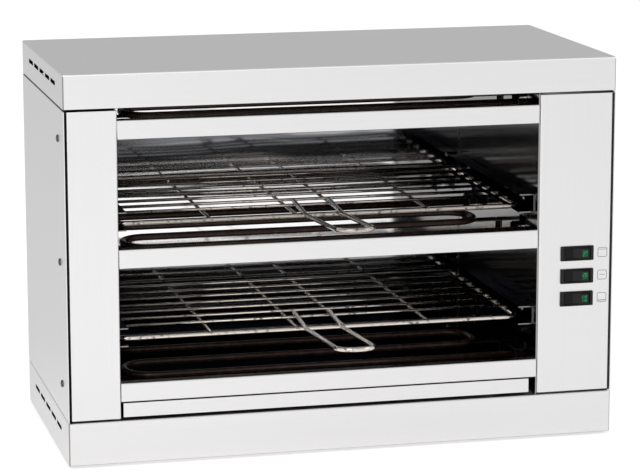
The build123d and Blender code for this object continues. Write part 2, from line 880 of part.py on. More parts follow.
screw_set(
    seat_planes([(left_face, y, z) for y, z in side_screw_places], (-1, 0, 0))
    + seat_planes([(right_face, y, z) for y, z in side_screw_places], (1, 0, 0)),
    "side_screws",
)
screw_set(seat_planes([(x, rear_face, z) for x, z in rear_screw_places], (0, 1, 0)), "rear_screws")
screw_set(
    seat_planes([(cavity_left + sheet, y, z) for y, z in rail_screw_places], (1, 0, 0))
    + seat_planes([(cavity_right - sheet, y, z) for y, z in rail_screw_places], (-1, 0, 0)),
    "rail_screws",
)
screw_set(
    seat_planes([(x, y, side_top - sheet) for x, y in flange_screw_places], (0, 0, -1))
    + seat_planes([(x, y, base_top + sheet) for x, y in flange_screw_places], (0, 0, 1)),
    "flange_screws",
)
screw_set(
    seat_planes([(x, y, foot_recess) for x, y in foot_places], (0, 0, -1)), "foot_screws",
)
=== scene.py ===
"""Dresses a countertop salamander toaster: steel finishes, welds, screw recesses and panel marks."""

import math

import bpy
from bpy.props import FloatProperty, FloatVectorProperty, PointerProperty
from mathutils import Matrix, Vector


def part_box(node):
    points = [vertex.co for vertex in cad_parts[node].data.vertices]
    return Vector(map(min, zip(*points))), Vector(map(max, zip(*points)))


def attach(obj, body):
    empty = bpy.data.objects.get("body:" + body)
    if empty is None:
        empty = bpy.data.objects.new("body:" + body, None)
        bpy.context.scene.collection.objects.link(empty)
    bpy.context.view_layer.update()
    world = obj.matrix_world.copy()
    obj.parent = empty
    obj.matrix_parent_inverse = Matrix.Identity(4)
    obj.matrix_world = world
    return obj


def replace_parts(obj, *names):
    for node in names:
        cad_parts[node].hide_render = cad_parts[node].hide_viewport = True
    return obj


bl_info = {
    "name": "Salamander Toaster",
    "version": (1, 0, 0),
    "blender": (4, 5, 0),
    "location": "View3D > Sidebar > Toaster",
    "description": "Dresses a two-deck salamander toaster and sets its studio",
    "category": "Object",
}

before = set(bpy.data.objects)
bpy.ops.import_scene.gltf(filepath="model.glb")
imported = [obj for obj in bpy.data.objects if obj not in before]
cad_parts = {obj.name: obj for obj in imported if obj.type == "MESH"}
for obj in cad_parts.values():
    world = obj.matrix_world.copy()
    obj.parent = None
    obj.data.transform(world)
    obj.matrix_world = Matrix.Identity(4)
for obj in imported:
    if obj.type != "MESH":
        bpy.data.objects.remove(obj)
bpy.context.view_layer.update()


# Settings

class SteelSettings(bpy.types.PropertyGroup):
    casing_color: FloatVectorProperty(
        name="Casing", description="Colour of the satin casing sheet", subtype="COLOR",
        size=3, min=0, max=1, default=(0.808, 0.799, 0.80))
    interior_color: FloatVectorProperty(
        name="Interior", description="Colour of the polished rear wall", subtype="COLOR",
        size=3, min=0, max=1, default=(0.94, 0.94, 0.95))
    # The side walls' dark colour is a painted dark reflection of the shaded cavity that they mirror
    side_wall_color: FloatVectorProperty(
        name="Side walls", description="Colour of the side walls, darkened as painted dark reflection", subtype="COLOR",
        size=3, min=0, max=1, default=(0.36, 0.355, 0.35))
    rail_color: FloatVectorProperty(
        name="Rails", description="Colour of the rails, dark behind their front edge", subtype="COLOR",
        size=3, min=0, max=1, default=(0.095, 0.10, 0.125))
    # The rear wall's darker colour where it mirrors dark parts is a painted dark reflection
    tint_color: FloatVectorProperty(
        name="Painted dark reflection", description="Colour of the rear wall where it mirrors dark parts, painted as a dark reflection",
        subtype="COLOR", size=3, min=0, max=1, default=(0.155, 0.16, 0.172))
    tray_color: FloatVectorProperty(
        name="Tray", description="Colour of the tray floor behind its front edge", subtype="COLOR",
        size=3, min=0, max=1, default=(0.075, 0.080, 0.090))
    satin_roughness: FloatProperty(
        name="Satin roughness", description="How matt the satin sheet is", min=0.05, max=1, default=0.34)
    polish_roughness: FloatProperty(
        name="Polish roughness", description="How matt the polished sheet is", min=0, max=1, default=0.07)


class WireSettings(bpy.types.PropertyGroup):
    wire_color: FloatVectorProperty(
        name="Wire", description="Colour of the lower rack's plated wire", subtype="COLOR",
        size=3, min=0, max=1, default=(0.74, 0.68, 0.62))
    # The upper rack's wire is the same plating as the lower's, painted darker as shade
    shaded_wire_color: FloatVectorProperty(
        name="Upper wire", description="Colour of the upper rack's plated wire, painted darker as shade from the darker surroundings it mirrors",
        subtype="COLOR", size=3, min=0, max=1, default=(0.50, 0.45, 0.41))
    sheath_color: FloatVectorProperty(
        name="Sheath", description="Colour of the elements' oxidised sheaths", subtype="COLOR",
        size=3, min=0, max=1, default=(0.022, 0.012, 0.009))
    weld_radius: FloatProperty(
        name="Weld", description="Radius of a weld bead on the racks", unit="LENGTH",
        min=0.0005, max=0.004, default=0.0018)


class PanelSettings(bpy.types.PropertyGroup):
    mark_size: FloatProperty(
        name="Mark size", description="Width of a heat-zone mark", unit="LENGTH",
        min=0.004, max=0.02, default=0.0092)
    mark_line: FloatProperty(
        name="Mark line", description="Width of a mark's printed line", unit="LENGTH",
        min=0.0002, max=0.002, default=0.00045)
    mark_color: FloatVectorProperty(
        name="Mark colour", description="Colour of the printed marks", subtype="COLOR",
        size=3, min=0, max=1, default=(0.15, 0.15, 0.15))
    lens_color: FloatVectorProperty(
        name="Lens", description="Colour of the switches' lenses", subtype="COLOR",
        size=3, min=0, max=1, default=(0.012, 0.24, 0.075))


class ScrewSettings(bpy.types.PropertyGroup):
    head_radius: FloatProperty(
        name="Head radius", description="Radius of a screw's head", unit="LENGTH",
        min=0.002, max=0.006, default=0.0034)
    head_height: FloatProperty(
        name="Head height", description="Height of a screw's dome", unit="LENGTH",
        min=0.0005, max=0.003, default=0.0016)
    shank_radius: FloatProperty(
        name="Shank radius", description="Radius of a screw's shank", unit="LENGTH",
        min=0.001, max=0.004, default=0.002)
    shank_length: FloatProperty(
        name="Shank length", description="Length of a screw's shank", unit="LENGTH",
        min=0.002, max=0.02, default=0.008)
    cross_width: FloatProperty(
        name="Cross width", description="Width of a cross's slot", unit="LENGTH",
        min=0.0003, max=0.002, default=0.0009)
    screw_color: FloatVectorProperty(
        name="Screw", description="Colour of the plated screws", subtype="COLOR",
        size=3, min=0, max=1, default=(0.45, 0.44, 0.43))
    # The side screws' dark colour is painted shade and dark reflection
    side_screw_color: FloatVectorProperty(
        name="Side screw", description="Colour of the side panels' screws, painted dark as shade", subtype="COLOR",
        size=3, min=0, max=1, default=(0.12, 0.10, 0.09))


class StageSettings(bpy.types.PropertyGroup):
    world_strength: FloatProperty(
        name="Sky", description="Strength of the studio's surrounding light", min=0, max=3, default=1.0)
    floor_glow: FloatProperty(
        name="Floor glow", description="What the floor adds for the camera and for reflections",
        min=0, max=1, default=0.45)
    softbox_power: FloatProperty(
        name="Softbox", description="Power of the main softbox", unit="POWER", min=0, max=500, default=22)


# The racks' cross wires, from the rack's middle, and their rods and handles
CROSS_WIRES = (-0.104, -0.0223, 0.0223, 0.104)
ROD_COUNT, ROD_RADIUS, HANDLE_RADIUS = 7, 0.0015, 0.0021

# How far a sheet's grain changes its tone and gloss, and the blur of an edge between two colours
SHADE, GLOSS_SPREAD, BLUR = 0.025, 0.05, 0.0002

# Repeats per metre of a polished sheet's grain, along and across it
POLISHED_REPEATS = (3.0, 700.0)

# The camera's place, its turn in degrees, its lens, sensor and shift, and where the lamps aim
CAMERA_PLACE = (-0.6224, -2.51235, 0.695)
CAMERA_TURN = (79.0, 0.07, -13.8)
LENS_LENGTH, SENSOR_WIDTH, LENS_SHIFT = 156.44, 36, (0.0014, -0.0056)
LAMP_AIM = Vector((0, 0, 0.18))

# Node groups that several materials use, by name
shared = {}


# Node building

def grey(level):
    """A grey with its alpha."""
    return (level, level, level, 1)


def toned(color, factor, lift=0.0):
    """A colour made darker or lighter, with its alpha."""
    return (*(min(1, part * factor + lift) for part in color), 1)


def grain_along(axis, along=5.0, across=1100.0):
    """Repeats per metre of a sheet's grain: few along one axis, many across it."""
    return tuple(along if name == axis else across for name in "XYZ")


def new_group(name, sockets):
    """A shader node group with named inputs and outputs, given as (name, direction, type, default)."""
    group = bpy.data.node_groups.new(name, "ShaderNodeTree")
    for label, way, kind, default in sockets:
        socket = group.interface.new_socket(name=label, in_out=way, socket_type=kind)
        if way == "INPUT" and default is not None:
            socket.default_value = default
    return group, group.nodes.new("NodeGroupInput"), group.nodes.new("NodeGroupOutput")


def plug(tree, socket, value):
    """Feeds an input from another socket, or sets it to a value."""
    if isinstance(value, bpy.types.NodeSocket):
        tree.links.new(value, socket)
    else:
        socket.default_value = value


def maths(tree, operation, *values, clamp=False):
    """A Math node whose inputs are sockets or numbers."""
    node = tree.nodes.new("ShaderNodeMath")
    node.operation = operation
    node.use_clamp = clamp
    for socket, value in zip(node.inputs, values):
        plug(tree, socket, value)
    return node.outputs[0]


def product(tree, first, *others):
    """Sockets or numbers multiplied together."""
    for other in others:
        first = maths(tree, "MULTIPLY", first, other)
    return first


def scaled(tree, vector, factors):
    """A vector multiplied part by part with another."""
    node = tree.nodes.new("ShaderNodeVectorMath")
    node.operation = "MULTIPLY"
    tree.links.new(vector, node.inputs[0])
    plug(tree, node.inputs[1], factors)
    return node.outputs[0]


def mixed(tree, share, first, second):
    """A colour between two colours or sockets."""
    node = tree.nodes.new("ShaderNodeMix")
    node.data_type = "RGBA"
    factor, color_a, color_b = (node.inputs[place] for place in (0, 6, 7))
    for socket, value in ((factor, share), (color_a, first), (color_b, second)):
        plug(tree, socket, value)
    return node.outputs[2]


def noise(tree, vector, scale, detail):
    """A noise value between 0 and 1."""
    node = tree.nodes.new("ShaderNodeTexNoise")
    node.inputs["Detail"].default_value = detail
    plug(tree, node.inputs["Scale"], scale)
    tree.links.new(vector, node.inputs["Vector"])
    return node.outputs["Fac"]


def noise_along(tree, value, scale):
    """A noise value between 0 and 1 that changes with one measure alone."""
    node = tree.nodes.new("ShaderNodeTexNoise")
    node.noise_dimensions = "1D"
    node.inputs["Scale"].default_value = scale
    tree.links.new(value, node.inputs["W"])
    return node.outputs["Fac"]


def ramp(tree, value, low, high):
    """Maps a value from low..high to 0..1, held at both ends; low may be the larger one."""
    node = tree.nodes.new("ShaderNodeMapRange")
    node.clamp = True
    tree.links.new(value, node.inputs[0])
    node.inputs[1].default_value = low
    node.inputs[2].default_value = high
    return node.outputs[0]


def step(tree, value, edge, width):
    """0 up to an edge and 1 past it by a width; a negative width gives 1 below the edge."""
    return ramp(tree, value, edge, edge + width)


def grain_group():
    """Fine rolling grain: a value round 0.5 that runs in streaks along one axis, and broad mottling."""
    group, source, result = new_group("Sheet grain", [
        ("Vector", "INPUT", "NodeSocketVector", None),
        ("Stretch", "INPUT", "NodeSocketVector", (4.0, 900.0, 900.0)),
        ("Streaks", "OUTPUT", "NodeSocketFloat", None),
        ("Mottle", "OUTPUT", "NodeSocketFloat", None),
    ])
    stretched = scaled(group, source.outputs["Vector"], source.outputs["Stretch"])
    group.links.new(noise(group, stretched, 1.0, 2.0), result.inputs["Streaks"])
    group.links.new(noise(group, source.outputs["Vector"], 9.0, 3.0), result.inputs["Mottle"])
    return group


def speck_group():
    """Small scattered specks, such as scale on a sheath or dirt on wire."""
    group, source, result = new_group("Specks", [
        ("Vector", "INPUT", "NodeSocketVector", None),
        ("Scale", "INPUT", "NodeSocketFloat", 400.0),
        ("Cover", "INPUT", "NodeSocketFloat", 0.55),
        ("Mask", "OUTPUT", "NodeSocketFloat", None),
    ])
    fine = noise(group, source.outputs["Vector"], source.outputs["Scale"], 4.0)
    above = maths(group, "SUBTRACT", fine, source.outputs["Cover"])
    group.links.new(maths(group, "MULTIPLY", above, 9.0, clamp=True), result.inputs["Mask"])
    return group


def plain_material(name, color, metallic, roughness):
    """A material with its Principled BSDF and Object coordinates ready."""
    material = bpy.data.materials.new(name)
    material.use_nodes = True
    tree = material.node_tree
    shader = tree.nodes["Principled BSDF"]
    shader.inputs["Base Color"].default_value = (*color, 1)
    shader.inputs["Metallic"].default_value = metallic
    shader.inputs["Roughness"].default_value = roughness
    tree.nodes.new("ShaderNodeTexCoord")
    return material, tree, shader


def object_place(tree):
    """The Object coordinates of a material."""
    return next(node for node in tree.nodes if node.type == "TEX_COORD").outputs["Object"]


def axis_of(tree, axis):
    """The Object coordinate of a material along one axis."""
    split = tree.nodes.new("ShaderNodeSeparateXYZ")
    tree.links.new(object_place(tree), split.inputs[0])
    return split.outputs[axis]


def place_group(tree, group, **values):
    """Puts a shared node group in a material with its own values."""
    node = tree.nodes.new("ShaderNodeGroup")
    node.node_tree = group
    tree.links.new(object_place(tree), node.inputs["Vector"])
    for label, value in values.items():
        node.inputs[label].default_value = value
    return node


def speck_mask(tree, scale, cover):
    """Where a material's specks lie, from 0 to 1."""
    return place_group(tree, shared["specks"], Scale=scale, Cover=cover).outputs["Mask"]


def specked(tree, color, specks, scale, cover):
    """Scatters specks of a second colour over a material, and gives back where they lie."""
    mask = speck_mask(tree, scale, cover)
    tone = mixed(tree, mask, (*color, 1), specks)
    tree.links.new(tone, tree.nodes["Principled BSDF"].inputs["Base Color"])
    return mask


def bumped(tree, height, strength, distance):
    """Feeds a height through a Bump node to a material's normal, over any bump that it has."""
    normal = tree.nodes["Principled BSDF"].inputs["Normal"]
    node = tree.nodes.new("ShaderNodeBump")
    node.inputs["Strength"].default_value = strength
    node.inputs["Distance"].default_value = distance
    tree.links.new(height, node.inputs["Height"])
    if normal.is_linked:
        tree.links.new(normal.links[0].from_socket, node.inputs["Normal"])
    tree.links.new(node.outputs["Normal"], normal)


def steel(name, color, roughness, repeats, bump=0.012):
    """Sheet steel whose grain runs along one axis, with a little mottling in tone and gloss."""
    material, tree, shader = plain_material(name, color, 1.0, roughness)
    grain = place_group(tree, shared["grain"], Stretch=repeats)
    streaks, mottle = grain.outputs["Streaks"], grain.outputs["Mottle"]
    darker, lighter = toned(color, 1 - SHADE), toned(color, 1 + SHADE)
    tone = mixed(tree, streaks, darker, lighter)
    tree.links.new(mixed(tree, product(tree, mottle, 0.3), tone, darker), shader.inputs["Base Color"])
    matt = maths(tree, "MULTIPLY_ADD", streaks, GLOSS_SPREAD, roughness - GLOSS_SPREAD / 2)
    tree.links.new(matt, shader.inputs["Roughness"])
    bumped(tree, streaks, bump, 0.0002)
    return material


def recolored(tree, mask, color):
    """Lays a colour over a material's own where the mask is 1."""
    base = tree.nodes["Principled BSDF"].inputs["Base Color"]
    tree.links.new(mixed(tree, mask, base.links[0].from_socket, (*color, 1)), base)


def dulled(tree, level):
    """Dims what a steel mirrors at a flat angle."""
    tree.nodes["Principled BSDF"].inputs["Specular Tint"].default_value = grey(level)


def two_tone(name, front, rear, split_y, roughness, repeats):
    """Sheet steel that is one colour in front of a depth and a darker, glossier one behind it."""
    material = steel(name, front, roughness, repeats)
    tree = material.node_tree
    behind = step(tree, axis_of(tree, "Y"), split_y - BLUR, 2 * BLUR)
    recolored(tree, behind, rear)
    dulled(tree, 0.25)
    matt = tree.nodes["Principled BSDF"].inputs["Roughness"]
    polish = product(tree, behind, roughness * 0.5)
    tree.links.new(maths(tree, "SUBTRACT", matt.links[0].from_socket, polish), matt)
    return material


def finish_nodes(names, material):
    """Gives CAD nodes a material in all their slots."""
    for name in names:
        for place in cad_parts[name].material_slots:
            place.material = material


# Modelling

def clear_selection():
    """Deselects everything."""
    for thing in bpy.context.selected_objects:
        thing.select_set(False)


def select_only(piece):
    """Selects one piece alone and makes it the active one."""
    clear_selection()
    piece.select_set(True)
    bpy.context.view_layer.objects.active = piece


def settle(piece, name, body, material):
    """Names a finished piece, applies its place, finishes it and lets it ride on its body."""
    select_only(piece)
    bpy.ops.object.transform_apply(location=True, rotation=True, scale=True)
    piece.name = name
    piece.data.name = name
    piece.data.materials.clear()
    piece.data.materials.append(material)
    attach(piece, body)
    return piece


def joined(parts):
    """Joins pieces into one."""
    clear_selection()
    for part in parts:
        part.select_set(True)
    bpy.context.view_layer.objects.active = parts[0]
    bpy.ops.object.join()
    return bpy.context.view_layer.objects.active


def copied(piece, place, turn=Matrix.Identity(4)):
    """A copy of a modelled piece with its own mesh, moved and turned."""
    copy = piece.copy()
    copy.data = piece.data.copy()
    bpy.context.collection.objects.link(copy)
    copy.matrix_world = Matrix.Translation(place) @ turn
    return copy


def pick(piece, kind, items, test):
    """Selects the edges or faces of a piece in edit mode that pass a test, and nothing else."""
    bpy.ops.object.mode_set(mode="EDIT")
    bpy.ops.mesh.select_mode(type=kind)
    bpy.ops.mesh.select_all(action="DESELECT")
    bpy.ops.object.mode_set(mode="OBJECT")
    for item in getattr(piece.data, items):
        item.select = test(item)
    bpy.ops.object.mode_set(mode="EDIT")


def smoothed_copy(node, body, material):
    """A smooth-shaded copy of a round CAD node, which it replaces."""
    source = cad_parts[node]
    piece = source.copy()
    piece.data = source.data.copy()
    for key in list(piece.keys()):
        del piece[key]
    piece.parent = None
    bpy.context.collection.objects.link(piece)
    piece.hide_render = piece.hide_viewport = False
    select_only(piece)
    bpy.ops.object.mode_set(mode="EDIT")
    bpy.ops.mesh.select_all(action="SELECT")
    bpy.ops.mesh.remove_doubles(threshold=0.00001)
    bpy.ops.object.mode_set(mode="OBJECT")
    bpy.ops.object.shade_smooth_by_angle(angle=math.radians(40))
    settle(piece, f"{node}_smooth", body, material)
    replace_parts(piece, node)


def screw_seats(node, spacing=0.016, rim=0.0033):
    """Where each head of a screw node sits and which way it faces.

    Points within the spacing belong to one screw, and those past the rim from its axis to its head.
    """
    clusters = []
    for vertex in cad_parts[node].data.vertices:
        near = [cluster for cluster in clusters if (cluster[0] - vertex.co).length < spacing]
        if near:
            near[0].append(vertex.co.copy())
        else:
            clusters.append([vertex.co.copy()])
    seats = []
    for cluster in clusters:
        low = Vector(min(point[axis] for point in cluster) for axis in range(3))
        high = Vector(max(point[axis] for point in cluster) for axis in range(3))
        size = high - low
        axis = max(range(3), key=lambda way: size[way])
        middle = (low + high) / 2
        wide = [point[axis] for point in cluster
                if (point - middle).length_squared - (point[axis] - middle[axis]) ** 2 > rim ** 2]
        seat = sum(wide) / len(wide)
        normal = Vector((0, 0, 0))
        normal[axis] = 1 if seat > middle[axis] else -1
        middle[axis] = seat
        seats.append((middle, normal))
    return seats


class TOASTER_OT_finish_casing(bpy.types.Operator):
    """Give the casing's sheets their satin steel"""
    bl_idname = "toaster.finish_casing"
    bl_label = "Casing"

    def execute(self, context):
        settings = context.scene.toaster_steel
        shared["grain"] = grain_group()
        shared["specks"] = speck_group()
        satin, roughness = settings.casing_color[:], settings.satin_roughness
        along_x = steel("Satin sheet along the width", satin, roughness, grain_along("X"))
        upright = steel("Satin sheet upright", satin, roughness, grain_along("Z"))
        along_y = steel("Satin sheet along the depth", satin, roughness, grain_along("Y"))
        finish_nodes(("rear_panel", "bottom_cover"), along_x)
        finish_nodes(("front_left_post", "control_panel"), upright)

        # The cap and base are painted dark inside as shade and the cap's lowest edge as the shadow line
        # of its seam;
        # the base's lowest edge is a darker grey, fine painted shade lines run down the front corners and
        # the cap's front fold has a painted highlight
        fold, line, highlight_height, thickness, lower_band = 0.0016, 0.0012, 0.0019, 0.0008, 0.0005
        shade_black = (0.01, 0.01, 0.01)
        for node, lower_band_color in (("top_cap", shade_black), ("base_pan", (0.4, 0.38, 0.37))):
            sheet = steel(f"{node} sheet", satin, roughness, grain_along("X"))
            tree = sheet.node_tree
            low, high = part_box(node)
            y, z = axis_of(tree, "Y"), axis_of(tree, "Z")
            off_centre = maths(tree, "ABSOLUTE", axis_of(tree, "X"))
            front = step(tree, y, low.y + fold, -1.5 * BLUR)
            # A thin line of painted shade down each rounded front corner
            corner = product(tree, front, step(tree, off_centre, high.x - line, 1.5 * BLUR))
            recolored(tree, corner, (0.34, 0.31, 0.30))
            # Painted highlight along the cap's top front fold
            if node == "top_cap":
                fold_highlight = product(tree, front, step(tree, z, high.z - highlight_height, 2 * BLUR))
                recolored(tree, fold_highlight, (1.0, 1.0, 1.0))
            # Painted shade inside the hollow sheet
            inside = product(tree, step(tree, off_centre, high.x - BLUR, -BLUR),
                             step(tree, y, low.y + thickness, BLUR),
                             step(tree, y, high.y - thickness, -BLUR),
                             step(tree, z, high.z - thickness, -BLUR))
            recolored(tree, inside, shade_black)
            # The cap's lowest edge is painted near black as the shadow line of its seam; the base's
            # lowest edge is a darker grey
            recolored(tree, step(tree, z, low.z + lower_band, -BLUR), lower_band_color)
            finish_nodes((node,), sheet)

        # The side panels are painted dark as shade in the seam under the cap and, at the left, beside the
        # post
        panel_low, panel_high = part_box("left_side_panel")
        post_seam, cap_seam = 0.0007, 0.0009
        tree = along_y.node_tree
        left = step(tree, axis_of(tree, "X"), 0.0, -0.01)
        inner = step(tree, axis_of(tree, "X"), panel_low.x + post_seam, BLUR)
        under = step(tree, axis_of(tree, "Z"), panel_high.z - cap_seam, BLUR)
        recolored(tree, maths(tree, "MAXIMUM", product(tree, left, inner), under), (0.02, 0.02, 0.02))
        finish_nodes(("left_side_panel", "right_side_panel", "tray_runners"), along_y)
        return {"FINISHED"}


class TOASTER_OT_finish_interior(bpy.types.Operator):
    """Give the cooking space, rails, bars and tray their polished and darkened steel, with painted dark
    reflections on the walls
    """
    bl_idname = "toaster.finish_interior"
    bl_label = "Cooking space"

    def execute(self, context):
        settings = context.scene.toaster_steel
        wall = steel("Polished rear wall", settings.interior_color[:], settings.polish_roughness,
                     grain_along("X", *POLISHED_REPEATS), bump=0.006)
        tree = wall.node_tree

        # Painted dark reflection: the rear wall is painted darker, with an uneven edge, above the upper
        # rack and by the lower element, where it mirrors dark parts
        unevenness = 0.016
        wave = product(tree, noise_along(tree, axis_of(tree, "X"), 7.0), unevenness)
        height = maths(tree, "ADD", axis_of(tree, "Z"), wave)
        upper_low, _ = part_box("upper_rack_frame")
        _, lower_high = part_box("lower_rack_frame")
        above = product(tree, ramp(tree, height, upper_low.z + 0.025, upper_low.z + 0.031),
                        ramp(tree, height, upper_low.z + 0.066, upper_low.z + 0.050),
                        ramp(tree, noise_along(tree, height, 150.0), -0.9, 0.5))
        below = product(tree, ramp(tree, height, lower_high.z + 0.045, lower_high.z + 0.030), 0.7)
        recolored(tree, maths(tree, "MAXIMUM", above, below), settings.tint_color[:])

        # The thin sheet isn't quite flat, which bends what it mirrors
        lengthened = scaled(tree, object_place(tree), (0.15, 1.0, 1.0))
        bumped(tree, noise(tree, lengthened, 26.0, 1.0), 0.22, 0.0035)
        finish_nodes(("cavity_rear_wall",), wall)

        # The side walls and top reflector are darkened as painted dark reflection of the shaded cavity
        side = steel("Heat-darkened wall", settings.side_wall_color[:], settings.polish_roughness + 0.05,
                     grain_along("Y", *POLISHED_REPEATS), bump=0.05)
        dulled(side.node_tree, 0.5)
        finish_nodes(("cavity_left_wall", "cavity_right_wall", "top_reflector"), side)

        # Rails and tray are dark but for the front edge, and the bars are darker behind
        for height in ("lower", "upper"):
            low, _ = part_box(f"{height}_left_rail")
            rail = two_tone(f"{height} rail", (0.24, 0.235, 0.23), settings.rail_color[:],
                            low.y + 0.0004, 0.16, grain_along("Y", *POLISHED_REPEATS))
            finish_nodes((f"{height}_left_rail", f"{height}_right_rail"), rail)
        low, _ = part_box("crumb_tray")
        tray = two_tone("Crumb tray", settings.casing_color[:], settings.tray_color[:],
                        low.y + 0.0014, settings.satin_roughness, grain_along("X"))
        finish_nodes(("crumb_tray",), tray)
        low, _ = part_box("middle_bar")
        bar = two_tone("Cross bar", settings.casing_color[:], (0.5, 0.49, 0.48),
                       low.y + 0.0006, settings.satin_roughness, grain_along("X"))
        finish_nodes(("lower_bar", "middle_bar", "upper_bar"), bar)
        return {"FINISHED"}


class TOASTER_OT_finish_racks(bpy.types.Operator):
    """Smooth the rack wires and handles, and plate them"""
    bl_idname = "toaster.finish_racks"
    bl_label = "Racks"

    def execute(self, context):
        settings = context.scene.toaster_wire
        # Both racks have one plating; the upper rack's copy is painted darker as shade from the darker
        # surroundings it mirrors
        for height, color in (("lower", settings.wire_color[:]), ("upper", settings.shaded_wire_color[:])):
            plated, tree, shader = plain_material(f"Plated wire, {height}", color, 1.0, 0.1)
            stains = specked(tree, color, toned(color, 0.3), 260.0, 0.56)
            tree.links.new(maths(tree, "MULTIPLY_ADD", stains, 0.22, 0.09), shader.inputs["Roughness"])
            for part in ("frame", "rods", "handle"):
                smoothed_copy(f"{height}_rack_{part}", f"{height}_rack", plated)
        return {"FINISHED"}


class TOASTER_OT_add_welds(bpy.types.Operator):
    """Bead the crossings where the racks' wires are welded"""
    bl_idname = "toaster.add_welds"
    bl_label = "Rack welds"

    def execute(self, context):
        radius = context.scene.toaster_wire.weld_radius
        metal, tree, _ = plain_material("Weld bead", (0.24, 0.22, 0.205), 1.0, 0.3)
        bumped(tree, speck_mask(tree, 900.0, 0.5), 0.3, 0.0002)
        clear_selection()
        bpy.ops.mesh.primitive_uv_sphere_add(segments=10, ring_count=6, radius=radius)
        bead = context.object
        bpy.ops.object.mode_set(mode="EDIT")
        bpy.ops.mesh.select_all(action="SELECT")
        bpy.ops.transform.resize(value=(1.15, 1.0, 0.8))
        bpy.ops.object.mode_set(mode="OBJECT")
        bpy.ops.object.shade_smooth()
        for height in ("lower", "upper"):
            low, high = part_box(f"{height}_rack_frame")
            rods_low, rods_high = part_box(f"{height}_rack_rods")
            handle_low, handle_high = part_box(f"{height}_rack_handle")
            wire = (high.z - low.z) / 2
            middle = (low.x + high.x) / 2
            pitch = (rods_high.y - rods_low.y - 2 * ROD_RADIUS) / (ROD_COUNT - 1)

            # On the frame's front and rear under the cross wires, at the handle's legs, and along both
            # sides at the rods
            places = [(middle + offset, depth, low.z + 1.55 * wire) for offset in CROSS_WIRES
                      for depth in (low.y + 0.55 * wire, high.y - 0.55 * wire)]
            places += [(leg, low.y + wire, high.z + 0.0012)
                       for leg in (handle_low.x + HANDLE_RADIUS, handle_high.x - HANDLE_RADIUS)]
            places += [(side, rods_low.y + ROD_RADIUS + rod * pitch, high.z - 0.0005)
                       for rod in range(ROD_COUNT) for side in (low.x + wire, high.x - wire)]
            beads = [copied(bead, Vector(place)) for place in places]
            settle(joined(beads), f"{height}_rack_welds", f"{height}_rack", metal)
        bpy.data.objects.remove(bead)
        return {"FINISHED"}


class TOASTER_OT_finish_elements(bpy.types.Operator):
    """Smooth the heating elements and oxidise their sheaths, and finish their fittings"""
    bl_idname = "toaster.finish_elements"
    bl_label = "Heating elements"

    def execute(self, context):
        color = context.scene.toaster_wire.sheath_color[:]
        sheath, tree, shader = plain_material("Oxidised sheath", color, 0.35, 0.27)
        shader.inputs["Specular IOR Level"].default_value = 0.3
        specked(tree, color, toned(color, 1.7), 170.0, 0.5)
        bumped(tree, speck_mask(tree, 1500.0, 0.45), 0.2, 0.0001)
        for level in ("lower", "middle", "top"):
            smoothed_copy(f"{level}_element", "casing", sheath)
        fittings = steel("Fittings", (0.62, 0.60, 0.57), 0.3, (300.0, 300.0, 300.0))
        finish_nodes(("element_bushes", "element_terminals", "switch_tabs", "gland_locknut",
                      "earth_stud"), fittings)
        # The clips are painted near black as shade, which hides the bright top they would show
        clips = steel("Clips", (0.06, 0.057, 0.055), 0.3, grain_along("Z", across=900.0))
        dulled(clips.node_tree, 0.25)
        finish_nodes(("element_clips",), clips)
        return {"FINISHED"}


